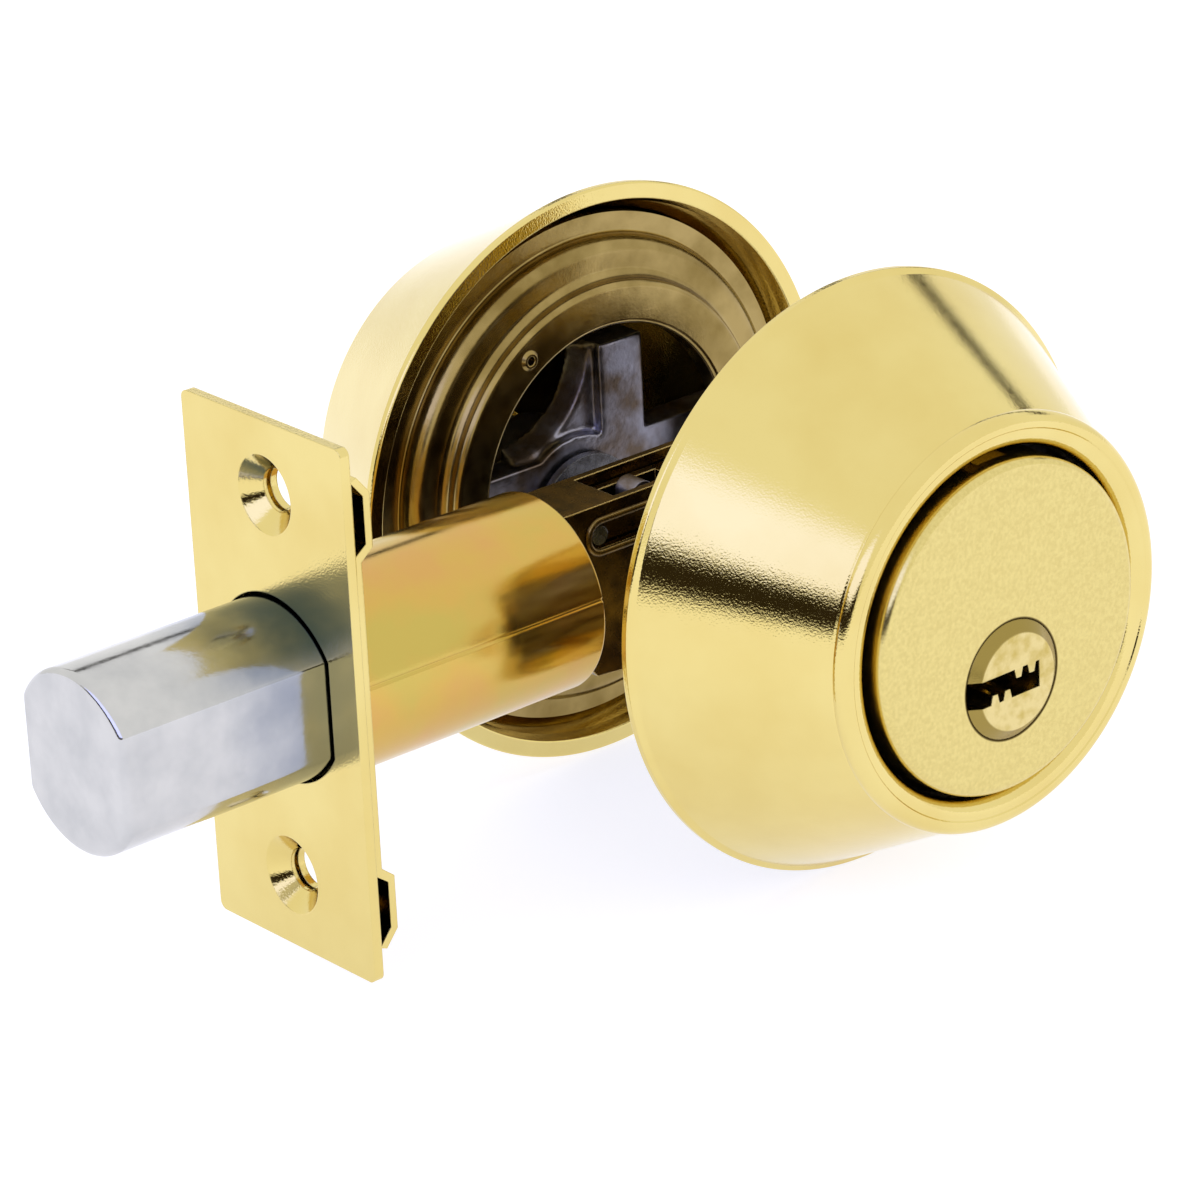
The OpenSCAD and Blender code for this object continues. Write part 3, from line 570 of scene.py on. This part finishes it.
class DEADBOLT_OT_mounting_plate(bpy.types.Operator):
    """Adds the pressed mounting plate: two rounded steps, a lipped opening, two screw holes and a dimple."""
    bl_idname = "deadbolt.mounting_plate"
    bl_label = "Mounting Plate"

    def execute(self, context):
        s = context.scene.deadbolt_trim
        proud, sheet, step, lip, gap, ledge = 0.35 * MM, 1.2 * MM, 2 * MM, 3 * MM, 3.7 * MM, 2.6 * MM
        flange, back = high("mounting_plate").x, high("mounting_plate").y
        front, ledge_y = low("mounting_plate").y + proud, DOOR + ledge
        outer = mouth(s) - gap
        ridge, open_r = outer - 4.4 * MM, outer - 9.2 * MM
        low_y, soft, tight, edge = front + step, s.shoulder, 0.45 * MM, 0.3 * MM
        profile, normals = outline([
            (open_r, front, 0.6 * MM), (ridge, front, 0.85 * MM), (ridge, low_y, 1.1 * MM),
            (outer, low_y, soft), (outer, ledge_y, 0.28 * MM), (flange, ledge_y, 0),
            (flange, ledge_y + sheet, 0), (outer, ledge_y + sheet, 0.1 * MM), (outer, back, edge),
            (outer - sheet, back, edge), (outer - sheet, low_y + sheet, tight),
            (ridge - sheet, low_y + sheet, tight), (ridge - sheet, front + sheet, tight),
            (open_r + sheet, front + sheet, tight), (open_r + sheet, front + lip, edge),
            (open_r, front + lip, edge)], closed=True, steps=14)
        profile, normals = fine(profile, normals, 0.12 * MM)
        points, facing = carried_round_y(profile, normals, 1, segments=720)
        pressed = points[..., 1] < front + 2 * sheet
        keep = np.ones(points.shape[:2], bool)
        ring, hole = (ridge + open_r) / 2, 2.2 * MM
        for degrees in (225, 315):
            keep &= ~open_hole(points, pressed, round_the_axis(ring, degrees), hole)
        dimple = round_the_axis(ring, 123)
        away = points[..., [0, 2]] - dimple
        keep &= ~((np.hypot(away[..., 0], away[..., 1]) < 0.75 * s.dimple) & pressed)
        piece = grid_piece("mounting_plate_pressed", points, facing, wrap_rows=True, keep=keep)
        dress(piece, finish_for("plate_yellow"), "lock_body", "plate_yellow", "mounting_plate")
        add_dimple(s.dimple, front, dimple)
        return {"FINISHED"}


def add_dimple(radius, front, centre):
    """Adds the small raised dimple of the mounting plate, with its hole."""
    crest, bore, height = 0.62 * radius + 0.1 * MM, radius - 0.7 * MM, 0.33 * MM
    profile, normals = outline([
        (bore, front + 1 * MM, 0), (bore, front - height, 0.2 * MM), (crest, front - height, 0.2 * MM),
        (radius, front, 0.1 * MM), (radius, front + 0.1 * MM, 0)], closed=False)
    points, facing = carried_round_y(profile, normals, 1, segments=64)
    points[..., 0] += centre[0]
    points[..., 2] += centre[1]
    piece = grid_piece("plate_dimple", points, facing)
    dress(piece, finish_for("plate_yellow"), "lock_body", "plate_yellow")


class DEADBOLT_OT_slot_rims(bpy.types.Operator):
    """Adds the two beads rolled round the case's guide slots: a round bead carried along each slot's edge."""
    bl_idname = "deadbolt.slot_rims"
    bl_label = "Slot Rims"

    def execute(self, context):
        bead = context.scene.deadbolt_latch.slot_rim
        play, height_share = 0.3 * MM, 0.8
        lo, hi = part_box("guide_pin")
        travel = next(j for j in frame["joints"] if j["name"] == "bolt_slide")["range_m"][1]
        start, height = (lo.x + hi.x) / 2, (lo.z + hi.z) / 2
        radius = (hi.z - lo.z) / 2 + play + bead
        a = np.linspace(-np.pi / 2, np.pi / 2, 24)
        outward = np.concatenate([np.stack([np.cos(a), np.sin(a)], 1), np.stack([-np.cos(a), -np.sin(a)], 1)])
        centre = np.repeat([[start + travel, height], [start, height]], len(a), axis=0)
        path = centre + radius * outward
        b = np.linspace(0, np.pi, 10)
        for side, name in ((-1, "slot_rim_outside"), (1, "slot_rim_inside")):
            face = side * high("latch_case").y
            points = np.stack([path[:, None, 0] + bead * np.cos(b) * outward[:, None, 0],
                               face + side * bead * height_share * np.sin(b) + 0 * path[:, None, 0],
                               path[:, None, 1] + bead * np.cos(b) * outward[:, None, 1]], -1)
            facing = np.stack([np.cos(b) * outward[:, None, 0], side * np.sin(b) + 0 * path[:, None, 0],
                               np.cos(b) * outward[:, None, 1]], -1)
            piece = grid_piece(name, points, facing, wrap_rows=True, wrap_columns=False)
            # the beads take the case's chromate, painted dark as shade
            dress(piece, finish_for("zinc_yellow", EDGE, painted_shade_chromate), "lock_body", "zinc_yellow")
        return {"FINISHED"}


class DEADBOLT_OT_barrel(bpy.types.Operator):
    """Adds the barrel: a tube rolled from sheet, with its butt seam and a slotted end for the case."""
    bl_idname = "deadbolt.barrel"
    bl_label = "Barrel"

    def execute(self, context):
        s = context.scene.deadbolt_latch
        near, far = low("barrel").x, high("barrel").x
        r = high("barrel").z
        bore = r - s.barrel_wall
        a = np.linspace(0, 2 * np.pi, 720, endpoint=False)
        seam_width, clear = 0.16 * MM, 0.05 * MM
        groove = s.seam * np.exp(-((a - s.seam_at) * r / seam_width) ** 2)
        half_y, half_z = high("latch_case").y + clear, high("latch_case").z + clear
        wall = far - s.barrel_wall
        shape, tilt = outline([(r, near, 0), (r, far, 0.45 * MM), (bore - 0.3 * MM, far, 0)],
                              closed=False, steps=10)
        across, along = np.cos(a), np.sin(a)
        # the end wall's opening is the case's rectangle, reached along each ray
        reach = np.minimum(half_y / np.maximum(np.abs(across), 1e-6),
                           half_z / np.maximum(np.abs(along), 1e-6))
        radius = [p[0] - groove for p in shape] + [reach, reach, np.full_like(a, bore), np.full_like(a, bore)]
        place = [p[1] for p in shape] + [far, wall, wall, near]
        lean = [(n[0], n[1]) for n in tilt] + [(0, 1), (0, -1), (0, -1), (-1, 0)]
        slope = -np.gradient(groove, a * r)
        ring = np.stack([np.zeros_like(a), across, along], -1)
        round_ = np.stack([np.zeros_like(a), -along, across], -1)
        out = ring - slope[:, None] * round_
        out /= np.linalg.norm(out, axis=1, keepdims=True)
        x = np.array([1.0, 0, 0])
        points = np.stack([q[:, None] * ring + p * x for q, p in zip(radius, place)])
        facing = np.stack([n[0] * out + n[1] * x for n in lean])
        piece = grid_piece("barrel_tube", points, facing, wrap_rows=True)
        dress(piece, finish_for("zinc_yellow"), "lock_body", "zinc_yellow", "barrel")
        return {"FINISHED"}


class DEADBOLT_OT_bolt(bpy.types.Operator):
    """Adds the bolt: a bar, round above and below and flat at the sides, with a softened nose."""
    bl_idname = "deadbolt.bolt"
    bl_label = "Bolt"

    def execute(self, context):
        s = context.scene.deadbolt_latch
        front, rear = low("bolt").x, high("bolt").x
        round_r, flat = high("bolt").z, high("bolt").y
        a = np.linspace(0, 2 * np.pi, 720, endpoint=False)
        k = s.bolt_edge
        # the bar's radius is the soft minimum of the circle and of the flats' distance along the ray
        side = flat / np.maximum(np.abs(np.cos(a)), 0.2)
        nearer, other = np.minimum(side, round_r), np.maximum(side, round_r)
        r = nearer - k * np.log1p(np.exp(-(other - nearer) / k))
        ring = np.stack([np.zeros_like(a), r * np.cos(a), r * np.sin(a)], -1)
        along = np.roll(ring, -1, 0) - np.roll(ring, 1, 0)
        out = np.stack([np.zeros_like(a), along[:, 2], -along[:, 1]], -1)
        out /= np.linalg.norm(out, axis=1, keepdims=True)
        x = np.array([1.0, 0, 0])
        bend = np.linspace(0, np.pi / 2, 12)
        nose, heel = s.bolt_nose, 0.3 * MM
        shrink = nose * (1 - np.sin(bend))
        bore = -low("saw_roller").z + 0.1 * MM
        hole = bore * ring / r[:, None]
        depth = low("saw_roller").x - 0.2 * MM
        rows = [0 * ring + front * x, ring * 0.5 + front * x]
        faces = [np.tile(-x, (len(a), 1))] * 2
        for b, cut in zip(bend, shrink):
            rows.append(ring * (1 - cut / round_r) + (front + nose * (1 - math.cos(b))) * x)
            faces.append(math.sin(b) * out - math.cos(b) * x)
        rows += [ring + (rear - heel) * x, ring * (1 - heel / round_r) + rear * x, hole + rear * x,
                 hole + (rear - 0.1 * MM) * x, hole + depth * x, 0 * ring + depth * x]
        to_rear = np.tile(x, (len(a), 1))
        faces += [out, to_rear, to_rear, -out, -out, to_rear]
        piece = grid_piece("bolt_bar", np.stack(rows), np.stack(faces))
        dress(piece, finish_for("bolt_steel"), "bolt_body", "bolt_steel", "bolt")
        return {"FINISHED"}


class DEADBOLT_OT_thumbturn(bpy.types.Operator):
    """Adds the thumbturn: a shank and disc turned in one, with a half-round grip across it."""
    bl_idname = "deadbolt.thumbturn"
    bl_label = "Thumbturn"

    def execute(self, context):
        lo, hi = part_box("thumbturn")
        shank, disc, thick, half = 7.2 * MM, 8.6 * MM, 1.5 * MM, 4 * MM
        seat, inner = TOP + 0.4 * MM, TOP - 1 * MM
        bore = high("turn_spindle").x + 0.02 * MM
        profile, normals = outline([
            (0, inner, 0), (bore, inner, 0.2 * MM), (bore, lo.y, 0.2 * MM), (shank, lo.y, 0.3 * MM),
            (shank, seat, 0.3 * MM), (disc, seat, 0.3 * MM), (disc, seat + thick, 0.5 * MM),
            (0, seat + thick, 0)], closed=False)
        points, facing = carried_round_y(profile, normals, 1, centre=AXIS, segments=192)
        base = grid_piece("thumbturn_base", points, facing)
        dress(base, finish_for("polished_brass"), "turn_body", "polished_brass", "thumbturn")
        foot = seat + 1 * MM
        reach, narrow, soft = hi.y - foot, 0.8 * half, 1.6 * MM
        shape, tilt = outline([(-half, 0, 0), (-narrow, reach, soft), (narrow, reach, soft), (half, 0, 0)],
                              closed=False, steps=14)
        a = np.linspace(0, 2 * np.pi, 256, endpoint=False)
        rise = np.where(np.sin(a) > 0, 1.0, 0.05)
        r, n = shape[:, 1:], tilt[:, 1:]
        flat = np.ones_like(a)
        points = np.stack([shape[:, :1] * flat, foot + r * rise * np.sin(a), AXIS + r * np.cos(a)], -1)
        facing = np.stack([tilt[:, :1] * flat, n * np.sin(a), n * np.cos(a)], -1)
        grip = grid_piece("thumbturn_grip", points, facing)
        dress(grip, finish_for("polished_brass"), "turn_body", "polished_brass")
        return {"FINISHED"}


class DEADBOLT_OT_casting(bpy.types.Operator):
    """Adds the thumbturn's bearing casting with the soft edges of die-cast zinc."""
    bl_idname = "deadbolt.casting"
    bl_label = "Bearing Casting"

    def execute(self, context):
        piece = softened("bearing_casting", "turn_bearing", voxel=0.28 * MM, rounds=5)
        dress(piece, finish_for("grey_zinc"), "lock_body", "grey_zinc", "turn_bearing")
        return {"FINISHED"}


class DEADBOLT_OT_springs(bpy.types.Operator):
    """Adds the five pin springs: wire carried along a helix whose end turns lie flat."""
    bl_idname = "deadbolt.springs"
    bl_label = "Pin Springs"

    def execute(self, context):
        wire = context.scene.deadbolt_latch.wire / 2
        turns, steps, sides = 9, 24, 8
        for k in range(1, 6):
            lo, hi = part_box(f"driver_spring_{k}")
            coil = hi.x - wire
            t = np.linspace(0, 1, steps * turns + 1)
            angle = 2 * np.pi * turns * t
            rise = np.clip((t * turns - 1) / (turns - 2), 0, 1)
            z = lo.z + wire + rise * (hi.z - lo.z - 2 * wire)
            y = (lo.y + hi.y) / 2
            path = np.stack([coil * np.cos(angle), y + coil * np.sin(angle), z], -1)
            tangent = np.gradient(path, axis=0)
            tangent /= np.linalg.norm(tangent, axis=1, keepdims=True)
            outward = np.stack([np.cos(angle), np.sin(angle), 0 * angle], -1)
            across = np.cross(tangent, outward)
            b = np.linspace(0, 2 * np.pi, sides, endpoint=False)
            facing = outward[:, None] * np.cos(b)[:, None] + across[:, None] * np.sin(b)[:, None]
            points = path[:, None] + wire * facing
            ends = np.repeat(path[[0, -1], None], sides, 1)
            points = np.concatenate([ends[:1], points, ends[1:]])
            facing = np.concatenate([np.repeat(-tangent[:1, None], sides, 1), facing,
                                     np.repeat(tangent[-1:, None], sides, 1)])
            piece = grid_piece(f"pin_spring_{k}", points, facing)
            dress(piece, finish_for("bright_steel"), "lock_body", "bright_steel", f"driver_spring_{k}")
            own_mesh(piece)
        return {"FINISHED"}


class DEADBOLT_OT_finishes(bpy.types.Operator):
    """Gives every kept node the finish of its slot."""
    bl_idname = "deadbolt.finishes"
    bl_label = "Finishes"

    def execute(self, context):
        for node in frame["nodes"].values():
            maker = painted_shade_chromate if node.name.split(".")[0] in SHADED_NODES else None
            for place in node.material_slots:
                slot = place.material.name.split(".")[0] if place.material else ""
                if slot in MAKERS:
                    place.material = finish_for(slot, EDGE, maker)
        return {"FINISHED"}


class DEADBOLT_OT_stage(bpy.types.Operator):
    """Adds the pale floor, the white tent with its dark gaps, and the camera."""
    bl_idname = "deadbolt.stage"
    bl_label = "Stage"

    def execute(self, context):
        scene = context.scene
        gap = 0.2 * MM
        floor_under(CAD_BOX[0].z - gap, scene.deadbolt_colours)
        tent(scene)
        camera(scene)
        scene.view_settings.view_transform = "Standard"
        return {"FINISHED"}


def floor_under(height, colours):
    """A wide level sheet under the lock."""
    reach = 2.5
    mesh = bpy.data.meshes.new("floor")
    mesh.from_pydata([(-reach, -reach, height), (reach, -reach, height), (reach, reach, height),
                      (-reach, reach, height)], [], [(0, 1, 2, 3)])
    floor = bpy.data.objects.new("floor", mesh)
    bpy.context.collection.objects.link(floor)
    paper = bpy.data.materials.new("matt_paper")
    paper.use_nodes = True
    shader = paper.node_tree.nodes["Principled BSDF"]
    shader.inputs["Base Color"].default_value = (*colours.floor, 1)
    shader.inputs["Emission Color"].default_value = (1, 1.01, 1.1, 1)
    shader.inputs["Emission Strength"].default_value = 0.72
    shader.inputs["Roughness"].default_value = 0.9
    shader.inputs["Specular IOR Level"].default_value = 0.1
    mesh.materials.append(paper)


def bearing(degrees):
    """Level direction at an azimuth: 0 is towards -Y and 90 towards +X."""
    a = math.radians(degrees)
    return math.sin(a), -math.cos(a), 0.0


# bands of the tent: heights of the lower and upper edge in degrees, how soft each edge is, the bearing
# of the middle, how far the band reaches to each side in degrees, and its light; a panel that lights the
# left, the dark gap under it, a thin dark gap at the right, and a gap behind
BANDS = (
    (17, 44, 0.01, 0.09, -78, 48, (1.34, 1.42, 2.5)),
    (0.5, 15.5, 0.004, 0.006, -78, 50, (0.03, 0.022, 0.012)),
    (24, 29.5, 0.006, 0.006, 122, 46, (0.04, 0.036, 0.03)),
    (28, 46, 0.04, 0.04, -151, 20, (0.06, 0.06, 0.07)),
)


# the tent's own light, and what the camera sees behind the lock
TENT_LIGHT = (1.06, 1.06, 1.06, 1)
BACKDROP = (1.1, 1.1, 1.1, 1)


def tent(scene):
    """A white tent lit all over, with the bands laid over it. Each band lies between two heights and
    fades out away from its bearing."""
    world = bpy.data.worlds.new("tent")
    world.use_nodes = True
    scene.world = world
    tree = world.node_tree
    tree.nodes.clear()
    way = put(tree, "ShaderNodeTexCoord").outputs["Generated"]
    height = put(tree, "ShaderNodeSeparateXYZ", {"Vector": way}).outputs["Z"]
    shown, fade = TENT_LIGHT, 0.06
    for below, above, soft_below, soft_above, toward, spread, light in BANDS:
        start, stop = math.sin(math.radians(below)), math.sin(math.radians(above))
        edge = math.cos(math.radians(spread))
        lower = put(tree, "ShaderNodeMapRange", {
            "Value": height, "From Min": start - soft_below, "From Max": start + soft_below},
            interpolation_type="SMOOTHSTEP")
        upper = put(tree, "ShaderNodeMapRange", {
            "Value": height, "From Min": stop + soft_above, "From Max": stop - soft_above},
            interpolation_type="SMOOTHSTEP")
        level = put(tree, "ShaderNodeVectorMath", {0: way, 1: bearing(toward)}, operation="DOT_PRODUCT")
        beside = put(tree, "ShaderNodeMapRange", {
            "Value": level.outputs["Value"], "From Min": edge - fade, "From Max": edge + fade},
            interpolation_type="SMOOTHSTEP")
        both = put(tree, "ShaderNodeMath", {0: lower.outputs["Result"], 1: upper.outputs["Result"]},
                   operation="MULTIPLY")
        mask = put(tree, "ShaderNodeMath", {0: both.outputs["Value"], 1: beside.outputs["Result"]},
                   operation="MULTIPLY")
        shown = put(tree, "ShaderNodeMix", {
            "Factor": mask.outputs["Value"], 6: shown, 7: (*light, 1)}, data_type="RGBA").outputs[2]
    sees = put(tree, "ShaderNodeLightPath").outputs["Is Camera Ray"]
    seen = put(tree, "ShaderNodeMix", {"Factor": sees, 6: shown, 7: BACKDROP}, data_type="RGBA")
    back = put(tree, "ShaderNodeBackground", {"Color": seen.outputs[2], "Strength": 1.0})
    put(tree, "ShaderNodeOutputWorld", {"Surface": back.outputs["Background"]})


# the camera's azimuth, height and roll in degrees, its place along its own right, up and back in mm, and
# the length of its lens in mm
CAMERA_ANGLES = (-39.845, 22.887, -2.774)
CAMERA_PLACE = (-13.328, -8.45, 584.62)
LENS = 165.8


def camera(scene):
    """A long lens looking down at the lock from the front left, rolled slightly."""
    azimuth, height, roll = (math.radians(v) for v in CAMERA_ANGLES)
    back = Vector((math.sin(azimuth) * math.cos(height), -math.cos(azimuth) * math.cos(height),
                   math.sin(height)))
    level = Vector((math.cos(azimuth), math.sin(azimuth), 0))
    up = back.cross(level)
    right = level * math.cos(roll) + up * math.sin(roll)
    above = up * math.cos(roll) - level * math.sin(roll)
    aside, raised, away = CAMERA_PLACE
    place = (right * aside + above * raised + back * away) * MM
    data = bpy.data.cameras.new("camera")
    data.sensor_width = 36
    data.lens = LENS
    data.clip_start, data.clip_end = 0.05, 20
    eye = bpy.data.objects.new("camera", data)
    bpy.context.collection.objects.link(eye)
    turn = Matrix((right, above, back)).transposed()
    eye.matrix_world = Matrix.Translation(place) @ turn.to_4x4()
    scene.camera = eye


OPERATORS = (
    DEADBOLT_OT_collar, DEADBOLT_OT_rose, DEADBOLT_OT_mounting_plate, DEADBOLT_OT_slot_rims,
    DEADBOLT_OT_barrel, DEADBOLT_OT_bolt, DEADBOLT_OT_thumbturn, DEADBOLT_OT_casting,
    DEADBOLT_OT_springs, DEADBOLT_OT_finishes, DEADBOLT_OT_stage)


class DEADBOLT_PT_panel(bpy.types.Panel):
    """Lists the deadbolt's pieces, sizes and colours."""
    bl_idname = "DEADBOLT_PT_panel"
    bl_label = "Deadbolt"
    bl_space_type = "VIEW_3D"
    bl_region_type = "UI"
    bl_category = "Deadbolt"

    def draw(self, context):
        column = self.layout.column()
        for operator in OPERATORS:
            column.operator(operator.bl_idname)
        scene = context.scene
        for group in (scene.deadbolt_trim, scene.deadbolt_latch, scene.deadbolt_colours):
            for name in group.__annotations__:
                column.prop(group, name)


GROUPS = (DeadboltTrimSizes, DeadboltLatchSizes, DeadboltColours)


def register():
    """Adds the classes and the scene's three groups of values."""
    for cls in (*GROUPS, *OPERATORS, DEADBOLT_PT_panel):
        bpy.utils.register_class(cls)
    bpy.types.Scene.deadbolt_trim = bpy.props.PointerProperty(type=DeadboltTrimSizes)
    bpy.types.Scene.deadbolt_latch = bpy.props.PointerProperty(type=DeadboltLatchSizes)
    bpy.types.Scene.deadbolt_colours = bpy.props.PointerProperty(type=DeadboltColours)


def unregister():
    """Takes them away again."""
    for name in ("deadbolt_trim", "deadbolt_latch", "deadbolt_colours"):
        delattr(bpy.types.Scene, name)
    for cls in reversed((*GROUPS, *OPERATORS, DEADBOLT_PT_panel)):
        bpy.utils.unregister_class(cls)


def main():
    register()
    for operator in OPERATORS:
        family, action = operator.bl_idname.split(".")
        getattr(getattr(bpy.ops, family), action)()


if __name__ == "__main__":
    main()
